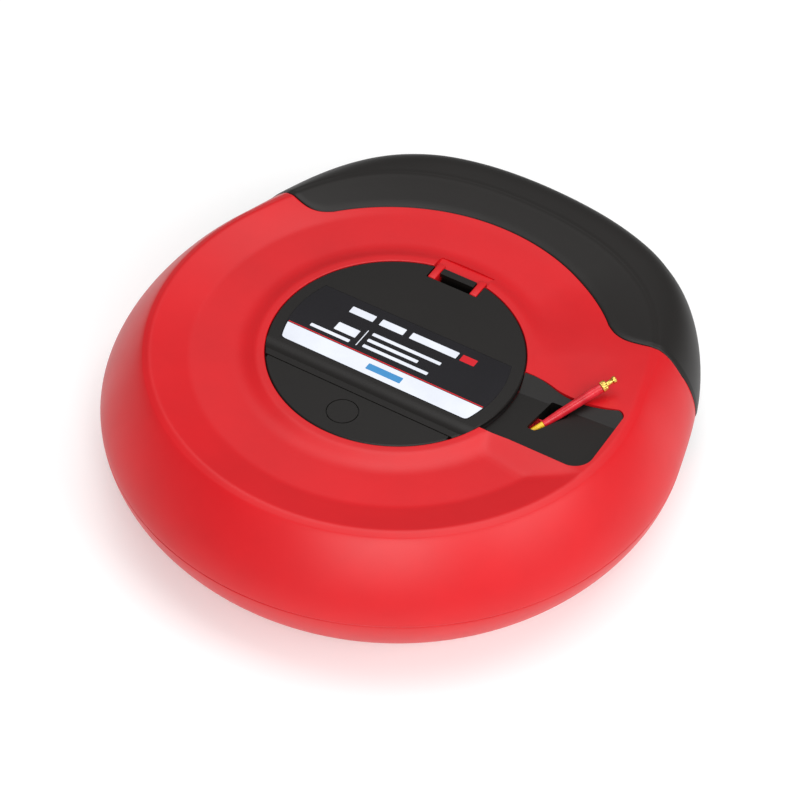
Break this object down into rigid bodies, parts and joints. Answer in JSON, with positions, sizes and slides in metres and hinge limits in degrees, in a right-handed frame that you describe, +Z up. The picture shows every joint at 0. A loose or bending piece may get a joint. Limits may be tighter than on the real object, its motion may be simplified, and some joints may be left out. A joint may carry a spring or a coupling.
{
  "type": "fish tape reel",
  "caption": "Round red hand reel that pays out a yellow glass-fibre pull rod through a black outlet plate, with a black grip and a hinged lid.",
  "frame": {"origin": "on the reel's spin axis, at the face the casing stands on", "axes": "+Z up along the spin axis, +Y towards the grip, +X towards the rod outlet"},
  "size_m": [0.2858, 0.2955, 0.0842],
  "materials": {
    "red_shell": "fine moulded texture",
    "black_grip": "matte soft-touch",
    "black_plate": "fine moulded texture",
    "black_inner": "plain moulded",
    "label_sheet": "printed, glossy",
    "bearing_plastic": "slick off-white",
    "rod_yellow": "glossy glass fibre",
    "sleeve_red": "heat-shrink, satin",
    "brass": "turned",
    "steel_screw": "zinc plated"
  },
  "bodies": {
    "casing": {"top_shell": "red_shell", "bottom_shell": "red_shell", "grip_upper": "black_grip", "grip_lower": "black_grip", "outlet_plate": "black_plate", "rod_guide": "black_inner", "lid_fixed_segment": "black_plate", "film_hinge": "black_plate", "lid_screw_cap": "black_plate", "lid_screw": "steel_screw", "accessory_tray": "black_inner", "bearing_ring": "bearing_plastic", "retaining_ring": "steel_screw", "retaining_screws": "steel_screw", "casing_screws": "steel_screw", "grip_screws": "steel_screw"},
    "lid": {"lid_flap": "black_plate", "lid_label": "label_sheet"},
    "latch": {"lid_latch": "black_plate"},
    "reel": {"reel_basket": "black_inner", "reel_cover": "black_inner", "rod_coil": "rod_yellow", "rod_anchor": "black_inner", "anchor_screw": "steel_screw"},
    "rod_end": {"rod_lead": "rod_yellow", "rod_sleeve": "sleeve_red", "rod_end_fitting": "brass"}
  },
  "joints": [
    {"name": "rod_slide", "type": "slide", "parent": "casing", "child": "rod_end", "axis": [0.498, 0.7969, 0.342], "range_m": [0, 0.04]},
    {"name": "reel_spin", "type": "hinge", "parent": "casing", "child": "reel", "pos_m": [0, 0, 0], "axis": [0, 0, 1], "continuous": true},
    {"name": "lid_hinge", "type": "hinge", "parent": "casing", "child": "lid", "pos_m": [0, -0.035, 0.072], "axis": [1, 0, 0], "range_deg": [0, 105]},
    {"name": "latch_flex", "type": "hinge", "parent": "lid", "child": "latch", "pos_m": [0, 0.0565, 0.0601], "axis": [1, 0, 0], "range_deg": [0, 8], "stiffness_Nm_per_rad": 0.5}
  ],
  "couplings": [
    {"joint": "reel_spin", "follows": "rod_slide", "rad_per_m": 8.8842}
  ]
}
